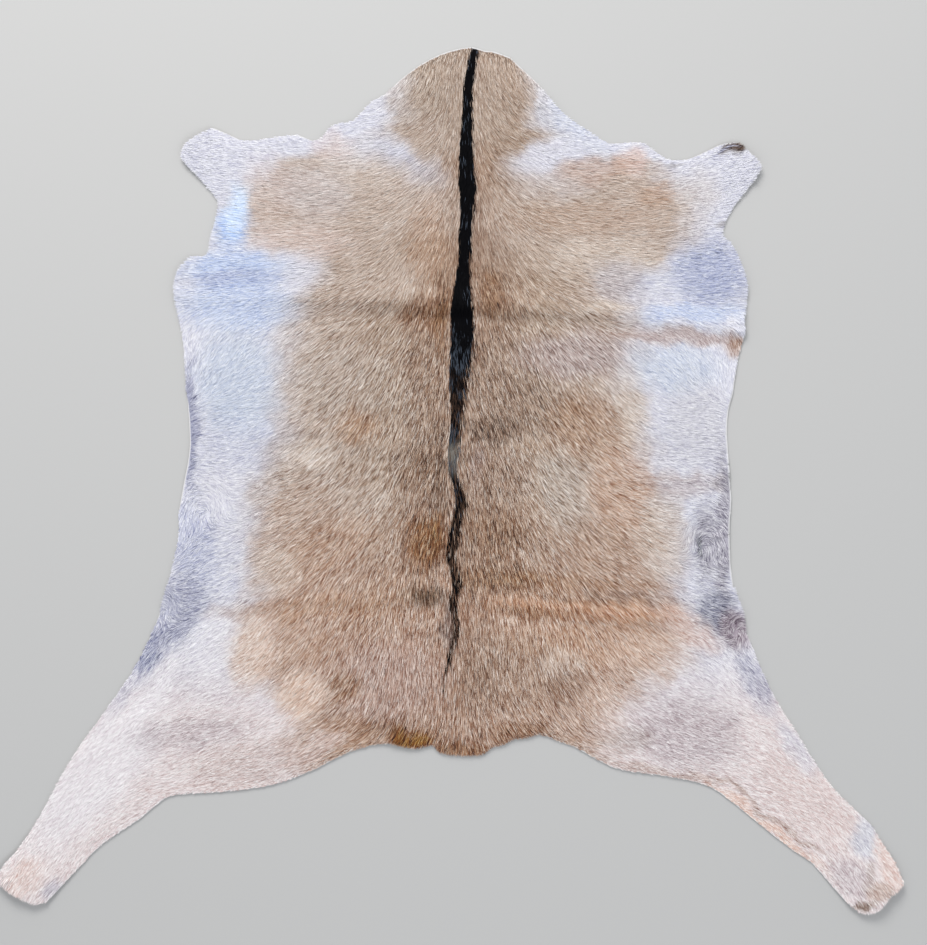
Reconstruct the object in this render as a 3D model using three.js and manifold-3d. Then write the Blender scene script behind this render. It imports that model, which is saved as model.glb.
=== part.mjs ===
import * as THREE from "three";
import Module from "manifold-3d";
import { mergeVertices } from "three/addons/utils/BufferGeometryUtils.js";

// A goatskin with its hair on, laid out flat on a floor with the hair up.
// Sizes are in millimetres. +X points to the skin's right flank, +Y to its neck, and z = 0 is the floor.

// How thick the skin is with its lying hair on it
const EDGE_THICKNESS = 2.4;
const BODY_THICKNESS = 4.6;
const BACK_RIDGE_THICKNESS = 1.7;
const BACK_RIDGE_HALF_WIDTH = 26;
const THIN_EDGE_WIDTH = 34;

// Lumps in the coat: how high, and the length of their waves across and along the skin
const LUMPS = [
  { height: 0.3, acrossWave: 143, alongWave: 121, phase: 0.4 },
  { height: 0.22, acrossWave: 87, alongWave: 71, phase: 2.1 },
  { height: 0.16, acrossWave: 49, alongWave: 58, phase: 4.4 },
];

// The edge of the skin, clockwise from the middle of the neck, stretch by stretch: x, y
const EDGE = {
  neckRight: [
    [23, 484],
    [36, 480],
    [59, 477],
    [72, 466],
    [102, 437],
    [115, 419],
    [131, 404],
    [156, 388],
  ],
  rightShoulder: [
    [176, 376],
    [203, 378],
    [215, 376],
    [236, 360],
    [254, 357],
    [269, 360],
  ],
  rightForeleg: [
    [297, 373],
    [308, 376],
    [321, 376],
    [327, 369],
    [344, 351],
    [344, 345],
    [327, 322],
    [306, 292],
    [301, 273],
  ],
  rightChest: [
    [309, 267],
    [322, 241],
    [329, 217],
    [326, 180],
    [328, 165],
    [320, 136],
    [315, 97],
  ],
  rightFlank: [
    [310, 79],
    [308, 51],
    [313, -23],
    [311, -48],
    [311, -74],
    [316, -125],
  ],
  rightHindLegOutside: [
    [324, -146],
    [330, -171],
    [357, -236],
    [383, -279],
    [416, -331],
    [435, -354],
    [468, -385],
  ],
  rightHindFoot: [
    [479, -403],
    [505, -450],
    [487, -466],
    [478, -479],
    [465, -484],
    [453, -482],
  ],
  rightHindLegInside: [
    [429, -459],
    [402, -428],
    [383, -416],
    [336, -379],
    [299, -350],
    [284, -342],
    [257, -335],
    [212, -328],
    [179, -322],
    [137, -299],
  ],
  rump: [
    [115, -291],
    [94, -284],
    [81, -289],
    [67, -289],
    [57, -295],
  ],
  tail: [
    [43, -298],
    [36, -305],
    [20, -307],
    [2, -306],
    [-14, -303],
    [-22, -295],
    [-33, -299],
  ],
  leftHindLegInside: [
    [-52, -298],
    [-70, -294],
    [-113, -304],
    [-150, -323],
    [-201, -342],
    [-265, -350],
    [-305, -352],
    [-321, -357],
    [-349, -380],
    [-389, -406],
    [-417, -434],
  ],
  leftHindFoot: [
    [-443, -462],
    [-452, -471],
    [-464, -474],
    [-479, -468],
    [-505, -450],
    [-505, -437],
    [-487, -416],
  ],
  leftHindLegOutside: [
    [-459, -374],
    [-439, -336],
    [-419, -302],
    [-393, -266],
    [-358, -216],
    [-339, -180],
    [-322, -136],
  ],
  leftFlank: [
    [-312, -101],
    [-305, -54],
    [-306, -39],
    [-295, 20],
    [-293, 42],
    [-296, 92],
    [-303, 175],
  ],
  leftChest: [
    [-309, 210],
    [-307, 226],
    [-300, 242],
    [-289, 250],
    [-272, 251],
  ],
  leftForeleg: [
    [-268, 271],
    [-259, 308],
    [-267, 321],
    [-289, 345],
    [-304, 365],
    [-280, 387],
    [-266, 393],
  ],
  leftShoulder: [
    [-237, 380],
    [-215, 380],
    [-172, 386],
    [-156, 379],
    [-142, 384],
    [-137, 393],
    [-126, 399],
    [-107, 402],
  ],
  neckLeft: [
    [-104, 409],
    [-86, 425],
    [-75, 431],
    [-58, 447],
    [-40, 461],
    [-23, 471],
    [-4, 479],
  ],
};
const STEPS_PER_EDGE_POINT = 2;

// The line of the back, from rump to neck
const BACK = [
  { y: -310, x: 4 },
  { y: -190, x: 0 },
  { y: -130, x: 5 },
  { y: 60, x: 5 },
  { y: 200, x: 13 },
  { y: 330, x: 17 },
  { y: 484, x: 24 },
];

// Creases from packing, which cross the skin as low ridges, in order from rump to neck.
// A ridge falls off over one width on its side to the neck and over another on its side to the rump.
const CREASES = [
  {
    neckSide: 26,
    rumpSide: 17,
    path: [
      { x: -330, y: -138, rise: 0 },
      { x: -240, y: -135, rise: 2.2 },
      { x: -184, y: -129, rise: 2.6 },
      { x: -35, y: -124, rise: 3.6 },
      { x: 18, y: -124, rise: 2.8 },
      { x: 92, y: -138, rise: 2.6 },
      { x: 167, y: -146, rise: 3.4 },
      { x: 286, y: -156, rise: 3.6 },
      { x: 330, y: -158, rise: 1.2 },
    ],
  },
  {
    neckSide: 22,
    rumpSide: 22,
    path: [
      { x: -300, y: 48, rise: 0.4 },
      { x: -177, y: 52, rise: 1.4 },
      { x: -102, y: 44, rise: 1.6 },
      { x: -1, y: 31, rise: 2.2 },
      { x: 32, y: 44, rise: 1.8 },
      { x: 122, y: 33, rise: 1.0 },
      { x: 212, y: 10, rise: 1.4 },
      { x: 312, y: 5, rise: 2.2 },
    ],
  },
  {
    neckSide: 28,
    rumpSide: 15,
    path: [
      { x: -309, y: 205, rise: 3.0 },
      { x: -171, y: 207, rise: 3.0 },
      { x: -103, y: 203, rise: 4.0 },
      { x: -1, y: 198, rise: 4.4 },
      { x: 32, y: 197, rise: 3.6 },
      { x: 193, y: 188, rise: 3.8 },
      { x: 244, y: 179, rise: 4.8 },
      { x: 328, y: 168, rise: 5.4 },
    ],
  },
];

// Where the dry skin curls up off the floor
const CURLS = [
  { place: "left hind foot", x: -492, y: -462, reach: 96, rise: 9 },
  { place: "right hind foot", x: 490, y: -474, reach: 96, rise: 10 },
  { place: "left forefoot", x: -304, y: 378, reach: 74, rise: 7 },
  { place: "right forefoot", x: 346, y: 362, reach: 74, rise: 8 },
  { place: "behind the left elbow", x: -312, y: 232, reach: 52, rise: 4 },
  { place: "behind the right elbow", x: 334, y: 226, reach: 56, rise: 4.5 },
  { place: "left flank", x: -306, y: 20, reach: 46, rise: 3 },
  { place: "right flank", x: 322, y: -60, reach: 50, rise: 3.5 },
  { place: "right side of the neck", x: 118, y: 424, reach: 44, rise: 3 },
  { place: "left side of the neck", x: -112, y: 412, reach: 44, rise: 3 },
  { place: "rump edge", x: -58, y: -304, reach: 46, rise: 3 },
];

// The net of points that the skin's two faces are drawn on
const NET_HALF_WIDTH = 516;
const NET_HALF_LENGTH = 496;
const NET_COLUMN_WIDTH = 25;
const BACK_COLUMNS = { from: -12, to: 36, width: 12 };
const ROWS_BESIDE_CREASE = [-17, -8, 0, 10, 24];
const ROWS_BETWEEN_CREASES = [13, 5, 5, 11];
const PRISM_BELOW = 5;
const PRISM_HEIGHT = 60;

const HAIR_COLOUR = 0xbfa58c;

// Reads a column of a table that is in order of another column.
function readTable(rows, orderedBy, at, column) {
  let row = 0;
  while (row < rows.length - 2 && at > rows[row + 1][orderedBy]) {
    row += 1;
  }
  const from = rows[row];
  const to = rows[row + 1];
  const share = (at - from[orderedBy]) / (to[orderedBy] - from[orderedBy]);
  return THREE.MathUtils.lerp(from[column], to[column], THREE.MathUtils.clamp(share, 0, 1));
}

// 1 in the middle, falling smoothly to 0 at a distance of 1
function bell(distance) {
  return Math.abs(distance) < 1 ? (1 + Math.cos(Math.PI * distance)) / 2 : 0;
}

function edgePoints() {
  const corners = Object.values(EDGE).flat().map(([x, y]) => new THREE.Vector3(x, y, 0));
  const curve = new THREE.CatmullRomCurve3(corners, true, "centripetal");
  const points = curve.getPoints(corners.length * STEPS_PER_EDGE_POINT);
  points.pop();
  return points.map((point) => new THREE.Vector2(point.x, point.y));
}

// How far inside the edge a point lies: 0 for a point outside it
function depthInside(x, y, edge) {
  const here = new THREE.Vector2(x, y);
  const along = new THREE.Vector2();
  const apart = new THREE.Vector2();
  let nearest = Infinity;
  let inside = false;
  edge.forEach((from, index) => {
    const to = edge[(index + 1) % edge.length];
    along.subVectors(to, from);
    apart.subVectors(here, from);
    const crossesRow = from.y > y !== to.y > y;
    if (crossesRow && x < from.x + (along.x * apart.y) / along.y) {
      inside = !inside;
    }
    const share = THREE.MathUtils.clamp(apart.dot(along) / along.lengthSq(), 0, 1);
    nearest = Math.min(nearest, apart.addScaledVector(along, -share).length());
  });
  return inside ? nearest : 0;
}

// Height of the skin's underside over the floor
function liftAt(x, y) {
  let lift = 0;
  for (const { neckSide, rumpSide, path } of CREASES) {
    const past = y - readTable(path, "x", x, "y");
    const width = past > 0 ? neckSide : rumpSide;
    lift = Math.max(lift, readTable(path, "x", x, "rise") * bell(past / width));
  }
  for (const curl of CURLS) {
    const share = 1 - Math.hypot(x - curl.x, y - curl.y) / curl.reach;
    lift = Math.max(lift, share > 0 ? curl.rise * share * share : 0);
  }
  return lift;
}

function thicknessAt(x, y, edge) {
  const inward = THREE.MathUtils.smoothstep(depthInside(x, y, edge), 0, THIN_EDGE_WIDTH);
  const fromBack = x - readTable(BACK, "y", y, "x");
  const ridge = BACK_RIDGE_THICKNESS * bell(fromBack / BACK_RIDGE_HALF_WIDTH);
  let thickness = THREE.MathUtils.lerp(EDGE_THICKNESS, BODY_THICKNESS + ridge, inward);
  for (const { height, acrossWave, alongWave, phase } of LUMPS) {
    const across = Math.sin((2 * Math.PI * x) / acrossWave + phase);
    const along = Math.sin((2 * Math.PI * y) / alongWave - phase);
    thickness += inward * height * across * along;
  }
  return thickness;
}

function netColumns() {
  const columns = [];
  for (let x = BACK_COLUMNS.from; x <= BACK_COLUMNS.to; x += BACK_COLUMNS.width) {
    columns.push(x);
  }
  for (let x = BACK_COLUMNS.to + NET_COLUMN_WIDTH; x < NET_HALF_WIDTH; x += NET_COLUMN_WIDTH) {
    columns.push(x);
  }
  for (let x = BACK_COLUMNS.from - NET_COLUMN_WIDTH; x > -NET_HALF_WIDTH; x -= NET_COLUMN_WIDTH) {
    columns.unshift(x);
  }
  return [-NET_HALF_WIDTH, ...columns, NET_HALF_WIDTH];
}

// The y of each row where it crosses x. Rows lie close together beside a crease and follow its line.
function netRowsAt(x) {
  const rows = [-NET_HALF_LENGTH];
  const fillTo = (y, count) => {
    const start = rows.at(-1);
    for (let step = 1; step <= count; step += 1) {
      rows.push(THREE.MathUtils.lerp(start, y, step / count));
    }
  };
  CREASES.forEach(({ path }, index) => {
    const middle = readTable(path, "x", x, "y");
    fillTo(middle + ROWS_BESIDE_CREASE[0], ROWS_BETWEEN_CREASES[index]);
    for (const beside of ROWS_BESIDE_CREASE.slice(1)) {
      rows.push(middle + beside);
    }
  });
  fillTo(NET_HALF_LENGTH, ROWS_BETWEEN_CREASES[CREASES.length]);
  return rows;
}

// A closed slab with the skin's upper and lower faces, larger all round than the skin
function reliefSlab(edge) {
  const columns = netColumns();
  const rowCount = netRowsAt(0).length;
  const upper = [];
  const lower = [];
  for (const x of columns) {
    for (const y of netRowsAt(x)) {
      const lift = liftAt(x, y);
      upper.push(x, y, lift + thicknessAt(x, y, edge));
      lower.push(x, y, lift);
    }
  }
  const under = columns.length * rowCount;
  const at = (column, row) => column * rowCount + row;
  const triangles = [];
  for (let column = 0; column < columns.length - 1; column += 1) {
    for (let row = 0; row < rowCount - 1; row += 1) {
      const a = at(column, row);
      const b = at(column + 1, row);
      const c = at(column + 1, row + 1);
      const d = at(column, row + 1);
      triangles.push(a, b, c, a, c, d);
      triangles.push(under + a, under + c, under + b, under + a, under + d, under + c);
    }
  }
  const wall = (from, to) => {
    triangles.push(from, under + from, under + to, from, under + to, to);
  };
  const lastColumn = columns.length - 1;
  const lastRow = rowCount - 1;
  for (let column = 0; column < lastColumn; column += 1) {
    wall(at(column, 0), at(column + 1, 0));
    wall(at(column + 1, lastRow), at(column, lastRow));
  }
  for (let row = 0; row < lastRow; row += 1) {
    wall(at(0, row + 1), at(0, row));
    wall(at(lastColumn, row), at(lastColumn, row + 1));
  }
  const geometry = new THREE.BufferGeometry();
  geometry.setAttribute("position", new THREE.Float32BufferAttribute([...upper, ...lower], 3));
  geometry.setIndex(triangles);
  return geometry;
}

function edgePrism(edge) {
  const geometry = new THREE.ExtrudeGeometry(new THREE.Shape(edge), {
    depth: PRISM_HEIGHT,
    bevelEnabled: false,
  });
  return geometry.translate(0, 0, -PRISM_BELOW);
}

const wasm = await Module();
wasm.setup();

function toSolid(geometry) {
  geometry.deleteAttribute("normal");
  geometry.deleteAttribute("uv");
  const merged = mergeVertices(geometry);
  const vertProperties = new Float32Array(merged.getAttribute("position").array);
  const triVerts = new Uint32Array(merged.getIndex().array);
  return new wasm.Manifold(new wasm.Mesh({ numProp: 3, vertProperties, triVerts }));
}

function toGeometry(solid) {
  const { vertProperties, triVerts } = solid.getMesh();
  const geometry = new THREE.BufferGeometry();
  geometry.setAttribute("position", new THREE.BufferAttribute(vertProperties, 3));
  geometry.setIndex(new THREE.BufferAttribute(triVerts, 1));
  geometry.computeVertexNormals();
  return geometry;
}

// The skin, moved so that the middle of its box stands over the origin
function makeHide() {
  const edge = edgePoints();
  const geometry = toGeometry(toSolid(reliefSlab(edge)).intersect(toSolid(edgePrism(edge))));
  geometry.computeBoundingBox();
  const middle = geometry.boundingBox.getCenter(new THREE.Vector3());
  geometry.translate(-middle.x, -middle.y, 0);
  const hair = new THREE.MeshStandardMaterial({ color: HAIR_COLOUR, roughness: 0.85, metalness: 0 });
  const hide = new THREE.Mesh(geometry, hair);
  hide.name = "goatskin_hide";
  return hide;
}

const goatskin = new THREE.Group();
goatskin.add(makeHide());

export default goatskin;
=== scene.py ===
# %% [markdown]
# # A hair-on goatskin, laid out flat
# One dressed skin lies on the floor with its hair up. The CAD solid gives its outline, its packing creases
# and its curled feet. Here it becomes a thin sheet of leather with some four hundred thousand hairs on it.

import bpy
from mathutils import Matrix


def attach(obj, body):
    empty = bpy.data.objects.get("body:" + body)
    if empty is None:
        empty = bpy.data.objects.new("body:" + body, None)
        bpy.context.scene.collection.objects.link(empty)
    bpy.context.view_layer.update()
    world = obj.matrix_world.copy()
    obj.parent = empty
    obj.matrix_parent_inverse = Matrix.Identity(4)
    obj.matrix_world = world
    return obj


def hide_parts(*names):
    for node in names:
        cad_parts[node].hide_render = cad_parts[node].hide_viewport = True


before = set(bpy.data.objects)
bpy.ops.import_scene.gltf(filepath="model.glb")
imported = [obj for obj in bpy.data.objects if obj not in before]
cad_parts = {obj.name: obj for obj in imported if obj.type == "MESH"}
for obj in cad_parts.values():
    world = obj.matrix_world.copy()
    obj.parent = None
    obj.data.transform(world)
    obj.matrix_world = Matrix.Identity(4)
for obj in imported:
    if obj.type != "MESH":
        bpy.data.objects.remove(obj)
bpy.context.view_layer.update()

# %% [markdown]
# ## Units and small helpers
# A skin is measured in millimetres, and Blender's scene is in metres, so MM turns one into the other.
# Everything random is drawn from one seeded generator, so that the skin comes out the same every time.

# %% Set the units and the random numbers
import math

import bpy
import numpy as np
from mathutils import Vector

MM = 0.001
chance = np.random.default_rng(21)
print("one millimetre is", MM, "m")

# %% [markdown]
# Short tables hold what is placed one by one: each has one row a line, first a place in words, then numbers.
# A word in the last columns, such as a colour's name, stays a word.

# %% Read a table of places
def read_cell(cell):
    is_number = cell.lstrip("-").replace(".", "").isdigit()
    return float(cell) if is_number else cell

def read_table(text):
    rows = []
    for line in text.strip().splitlines()[1:]:
        place, *others = [cell.strip() for cell in line.split("|")]
        rows.append([place] + [read_cell(cell) for cell in others])
    return rows

print(read_table("place | x | colour\nneck | -1.5 | fawn"))

# %% [markdown]
# Most changes over a skin are gradual. A fade is a share that runs from 0 to 1 between two places, and ease
# rounds off both its ends, so that no line shows where it starts or stops.

# %% Fade from one place to another
def fade(value, start, end):
    return np.clip((value - start) / (end - start), 0, 1)

def ease(share):
    return share * share * (3 - 2 * share)

print("a quarter of the way through a fade, eased:", ease(fade(2.5, 0, 10)))

# %% [markdown]
# Natural things are never quite even. Soft noise is a grid of random heights with smooth slopes between
# them, and its size says how far apart the heights stand. It runs from -1 to 1. Each shift number gives
# another stretch of it.

# %% Make soft noise
NOISE_GRID = 256
SHIFT_X, SHIFT_Y = 17.3, 31.7
noise_heights = chance.uniform(-1, 1, (NOISE_GRID, NOISE_GRID))

def soft_noise(x, y, size, shift=0):
    u = x / size + shift * SHIFT_X
    v = y / size + shift * SHIFT_Y
    i, j = np.floor(u).astype(int), np.floor(v).astype(int)
    s, t = ease(u - i), ease(v - j)
    i, j = i % NOISE_GRID, j % NOISE_GRID
    next_i, next_j = (i + 1) % NOISE_GRID, (j + 1) % NOISE_GRID
    low = noise_heights[i, j] * (1 - s) + noise_heights[next_i, j] * s
    high = noise_heights[i, next_j] * (1 - s) + noise_heights[next_i, next_j] * s
    return low * (1 - t) + high * t

print("noise at three places:", soft_noise(np.array([0, 5, 10.0]), np.zeros(3), 8).round(2))

# %% [markdown]
# ## The dressed skin
# A tanned goatskin is a sheet of leather a little over a millimetre thick. The flesh side of the CAD solid
# already lies on the floor and rises under each crease, so a copy of the solid that keeps only the faces
# looking down is the sheet. The imported copy is merged first, because its faces come apart at the edges.

# %% Copy the flesh side of the solid
MERGE_GAP = 0.01 * MM
LOOKING_DOWN = -0.3

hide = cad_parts["goatskin_hide"]
bpy.ops.object.select_all(action="DESELECT")
leather = bpy.data.objects.new("goatskin_leather", hide.data.copy())
bpy.context.scene.collection.objects.link(leather)
leather.select_set(True)
bpy.context.view_layer.objects.active = leather
leather.data.materials.clear()

bpy.ops.object.mode_set(mode="EDIT")
bpy.ops.mesh.select_all(action="SELECT")
bpy.ops.mesh.remove_doubles(threshold=MERGE_GAP)
bpy.ops.mesh.normals_make_consistent(inside=False)
bpy.ops.mesh.select_all(action="DESELECT")
bpy.ops.object.mode_set(mode="OBJECT")
for face in leather.data.polygons:
    face.select = face.normal.z > LOOKING_DOWN
bpy.ops.object.mode_set(mode="EDIT")
bpy.ops.mesh.delete(type="FACE")
bpy.ops.mesh.select_all(action="SELECT")
bpy.ops.mesh.flip_normals()
print("flesh side:", len(leather.data.polygons), "faces")

# %% [markdown]
# The solid's creases are built from flat strips. Cutting every face finer and smoothing the heights alone
# makes them soft bends again, and leaves the outline where it is.

# %% Soften the creases
bpy.ops.mesh.subdivide(number_cuts=2)
bpy.ops.mesh.vertices_smooth(factor=0.5, repeat=4, xaxis=False, yaxis=False, zaxis=True)
bpy.ops.object.mode_set(mode="OBJECT")
print("sheet:", len(leather.data.polygons), "faces")

# %% [markdown]
# How far a place is from the cut edge matters for everything near it: hair length, the pale cut, the height
# of the waves.
# The edge is the ring of mesh edges that belong to one face only.

# %% Measure the distance to the cut edge
def sheet_points():
    points = np.empty(len(leather.data.vertices) * 3)
    leather.data.vertices.foreach_get("co", points)
    return points.reshape(-1, 3)

def edge_segments():
    uses = {}
    for face in leather.data.polygons:
        for key in face.edge_keys:
            uses[key] = uses.get(key, 0) + 1
    rim = np.array([key for key, count in uses.items() if count == 1])
    points = sheet_points()[:, :2]
    return points[rim[:, 0]], points[rim[:, 1]]

rim_from, rim_to = edge_segments()

def edge_distance(places):
    nearest = np.full(len(places), np.inf)
    for a, b in zip(rim_from, rim_to):
        along = np.clip(((places - a) @ (b - a)) / ((b - a) @ (b - a)), 0, 1)
        gap = places - a - along[:, None] * (b - a)
        nearest = np.minimum(nearest, np.einsum("ij,ij->i", gap, gap))
    return np.sqrt(nearest)

sheet_margin = edge_distance(sheet_points()[:, :2])
print("rim of", len(rim_from), "edges; the middle is", round(sheet_margin.max() * 1000), "mm from it")

# %% [markdown]
# A dressed skin never lies dead flat. Broad, shallow waves up to two millimetres high let the light play
# over it, and a small fold runs inward from each elbow. They die out towards the cut edge, where the skin
# touches the floor. Each fold has its middle, half length, half width, turn and rise.

# %% Add shallow waves
SMALL_FOLDS = """
place      |   x|  y|long|wide|turn|rise
left elbow |-243|247|  44|   9| -10| 2.2
right elbow| 270|256|  42|   9|  30| 1.8
"""
BROAD_WAVE, SMALL_WAVE = 70, 28
MEAN_RISE, HIGHEST_RISE = 0.9, 4
EDGE_FADE = 30 * MM

def across_and_along(x, y, middle_x, middle_y, turn):
    angle = math.radians(turn)
    along = (x - middle_x) * math.cos(angle) + (y - middle_y) * math.sin(angle)
    across = (y - middle_y) * math.cos(angle) - (x - middle_x) * math.sin(angle)
    return across, along

points = sheet_points()
x_mm, y_mm = points[:, 0] / MM, points[:, 1] / MM
waves = MEAN_RISE + 0.7 * soft_noise(x_mm, y_mm, BROAD_WAVE, 1) + 0.35 * soft_noise(x_mm, y_mm, SMALL_WAVE, 2)
for _, fold_x, fold_y, long, wide, turn, rise in read_table(SMALL_FOLDS):
    across, along = across_and_along(x_mm, y_mm, fold_x, fold_y, turn)
    waves += rise * np.exp(-((along / long) ** 2) - (across / wide) ** 2)
points[:, 2] += np.clip(waves, 0, HIGHEST_RISE) * MM * fade(sheet_margin, 0, EDGE_FADE)
leather.data.vertices.foreach_set("co", points.ravel())
leather.data.update()
print("heights from", points[:, 2].min().round(4), "to", points[:, 2].max().round(4))

# %% [markdown]
# ## How the hair lies
# Hair grows from head to rump along the back and turns outward over the ribs, so that it points sideways at
# the belly edge. The table gives, for stations along the body, how far it leans outward from straight
# towards the rump, in degrees, at growing distances from the back line. Over 90 it points back to the neck.

# %% Describe the lie of the hair
FROM_BACK = [0, 45, 100, 155, 210, 265, 315, 400, 500]
LIE = """
station           |   y|back|45|100|155|210|265|315|400|500
top of the neck   | 460|   0|15| 40| 60| 60| 60| 60| 60| 60
middle of the neck| 415|   0|45| 75| 80| 85| 85| 90| 90| 90
foot of the neck  | 370|   0|58| 82| 90| 93| 98|105|125|125
shoulder          | 300|   0|42| 76| 87| 92| 98|112|130|130
elbow             | 240|   0|22| 60| 80| 87| 90| 95|110|110
above the crease  | 205|   0|20| 52| 68| 78| 88| 88| 90| 90
first ribs        | 155|   3|18| 38| 54| 60| 40|  5|  5|  5
ribs              | 115|   3|15| 33| 48| 62| 40|  5|  5|  5
ribs              |  85|   4|15| 32| 45| 65| 82| 45| 45| 45
middle            |  40|   5|14| 36| 50| 70| 82| 70| 70| 70
middle            | -25|   5|14| 40| 56| 70| 80| 35| 35| 35
flank             | -60|   4|12| 38| 52| 60| 72|  0|  0|  0
flank             | -95|   3|10| 30| 47| 58| 72| 50| 50| 50
loin              |-140|   2| 8| 22| 36| 52| 63| 85| 60| 60
hip               |-175|   1| 5| 15| 28| 47| 60| 40| 35| 35
hip               |-205|   0| 4| 15| 30| 47| 62| 45| 32| 35
thigh             |-235|   0| 8| 24| 40| 62| 64| 58| 38| 36
thigh             |-265|   2|14| 42| 54| 64| 70| 66| 42| 36
rump edge         |-295|   6|32| 62| 68| 68| 73| 72| 48| 38
hind leg          |-345|   6|40| 68| 72| 74| 76| 72| 52| 40
hind foot         |-420|   6|40| 68| 72| 74| 70| 60| 45| 38
hind foot         |-480|   6|40| 68| 72| 74| 70| 55| 42| 35
"""
lie_rows = read_table(LIE)
print(len(lie_rows), "stations from the neck to the hind feet")

# %% [markdown]
# The back line wanders a little from side to side. Distances are counted from it, and the hair parts over a
# few millimetres there. The angles between the stations are blended as directions, not as numbers, and so
# turn evenly.

# %% Find the direction of the hair anywhere
BACK = """
place          |   y| x
top of the neck| 484|25
neck           | 460|20
neck           | 400|17
shoulders      | 330|16
shoulders      | 250|16
crease         | 200|15
ribs           | 140|13
middle         |  60| 6
middle         |   0| 3
flank          | -40| 8
loin           |-130| 4
rump           |-230| 0
tail           |-310|10
"""
PARTING = 6
back_rows = read_table(BACK)

def at_station(rows, column, y, **beyond):
    tail_first = rows[::-1]
    stations = [row[1] for row in tail_first]
    values = [row[column] for row in tail_first]
    return np.interp(y, stations, values, **beyond)

def back_x(y):
    return at_station(back_rows, 2, y)

def blend_lie(lean_values, x, y):
    stations = np.array([row[1] for row in lie_rows])
    columns = np.array(FROM_BACK, float)
    row = np.clip(np.interp(-y, -stations, np.arange(len(stations))), 0, len(stations) - 1.001)
    column = np.clip(np.interp(x, columns, np.arange(len(columns))), 0, len(columns) - 1.001)
    i, j = row.astype(int), column.astype(int)
    s, t = row - i, column - j
    top = lean_values[i, j] * (1 - t) + lean_values[i, j + 1] * t
    bottom = lean_values[i + 1, j] * (1 - t) + lean_values[i + 1, j + 1] * t
    return top * (1 - s) + bottom * s

leans = np.radians(np.array([row[2:] for row in lie_rows]))

def body_lie(x, y):
    across = x - back_x(y)
    outward = blend_lie(np.sin(leans), np.abs(across), y)
    rearward = blend_lie(np.cos(leans), np.abs(across), y)
    return np.stack([outward * np.tanh(across / PARTING), -rearward], axis=-1)

print("at the left ribs the hair points", body_lie(np.array([-150.0]), np.array([60.0])).round(2))

# %% [markdown]
# Where the hair of the flank meets the hair of the leg it turns in a whorl, like the crown of a head. The
# skin has one on each flank and one at each hip. Around its middle the hair runs in upright arches, and below
# the middle it falls back into the coat.

# %% Turn the hair round the whorls
WHORLS = """
place      |   x|   y|reach|turn
left flank |-272| -40|   36|   1
right flank| 280| -76|   32|  -1
right hip  | 319|-171|   20|  -1
left hip   |-318|-150|   22|   1
"""
WHORL_HEIGHT = 0.6
ARCH_FOOT = -12
whorl_rows = read_table(WHORLS)

def turned(lie, angle):
    x = lie[:, 0] * np.cos(angle) - lie[:, 1] * np.sin(angle)
    y = lie[:, 0] * np.sin(angle) + lie[:, 1] * np.cos(angle)
    return np.stack([x, y], axis=-1)

def hair_lie(x, y):
    lie = body_lie(x, y)
    for _, middle_x, middle_y, reach, turn in whorl_rows:
        away = np.stack([x - middle_x, (y - middle_y) * WHORL_HEIGHT], axis=-1)
        distance = np.linalg.norm(away, axis=-1) + 1e-6
        ring = np.stack([-away[:, 1], away[:, 0]], axis=-1) * (turn / distance)[:, None]
        above = fade(away[:, 1], ARCH_FOOT, 0)
        pull = (above * np.exp(-((distance / reach) ** 4)))[:, None]
        lie = lie * (1 - pull) + ring * pull
    wander = np.radians(8) * soft_noise(x, y, 30, 3) + np.radians(3) * soft_noise(x, y, 12, 4)
    lie = turned(lie, wander)
    return lie / np.linalg.norm(lie, axis=-1, keepdims=True)

print("beside the left whorl:", hair_lie(np.array([-260.0]), np.array([-38.0])).round(2))

# %% [markdown]
# ## The colours of the coat
# A goat's coat is a few hair colours in changing shares. They are named here once, as a painter would name
# tubes of paint, in the 0 to 255 of a colour chart, and turned into the linear light that shaders use.
# Some of them also paint light and shade: snow, ice and pale blue serve painted highlights and sheen, slate a
# painted sheen on the black stripe, and darker ones painted shade in the creases, folds and curled feet.

# %% Name the hair colours
HAIR_COLOURS = {
    "fawn": (184, 162, 144),
    "light_fawn": (203, 187, 176),
    "deep_fawn": (163, 135, 115),
    "brown": (136, 104, 82),
    "dark_brown": (92, 70, 57),
    "orange_tan": (196, 160, 132),
    "grey_tan": (192, 181, 171),
    "pink_tan": (190, 162, 150),
    "tan": (176, 138, 106),
    "golden": (164, 118, 74),
    "russet": (129, 86, 50),
    "amber": (132, 76, 14),
    "apricot": (212, 164, 124),
    "rosy_tan": (200, 160, 137),
    "umber": (86, 46, 12),
    "taupe": (112, 92, 88),
    "cream": (222, 210, 200),
    "pale_tan": (228, 209, 196),
    "peach": (234, 208, 195),
    "pinkish": (231, 216, 213),
    "white": (224, 224, 233),
    "snow": (243, 240, 243),
    "cool_white": (208, 216, 230),
    "pale_blue": (196, 213, 241),
    "ice": (224, 236, 252),
    "lavender": (188, 194, 218),
    "blue_grey": (170, 172, 195),
    "steel": (136, 138, 160),
    "plum_grey": (180, 165, 174),
    "mauve": (162, 146, 157),
    "lilac": (176, 172, 184),
    "black": (5, 5, 8),
    "grey": (124, 121, 116),
    "slate": (70, 78, 90),
}

def linear(colour):
    share = np.asarray(colour, float) / 255
    return np.where(share <= 0.04045, share / 12.92, ((share + 0.055) / 1.055) ** 2.4)

paint = {name: linear(colour) for name, colour in HAIR_COLOURS.items()}
print(len(paint), "hair colours; fawn in linear light is", paint["fawn"].round(3))

# %% [markdown]
# The fawn hair covers the goat like a saddle cloth, and the belly edges and legs are pale. The table says
# how far the saddle reaches to each side along the body. Its edge is ragged, and the two colours mix over
# about six centimetres.

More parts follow.
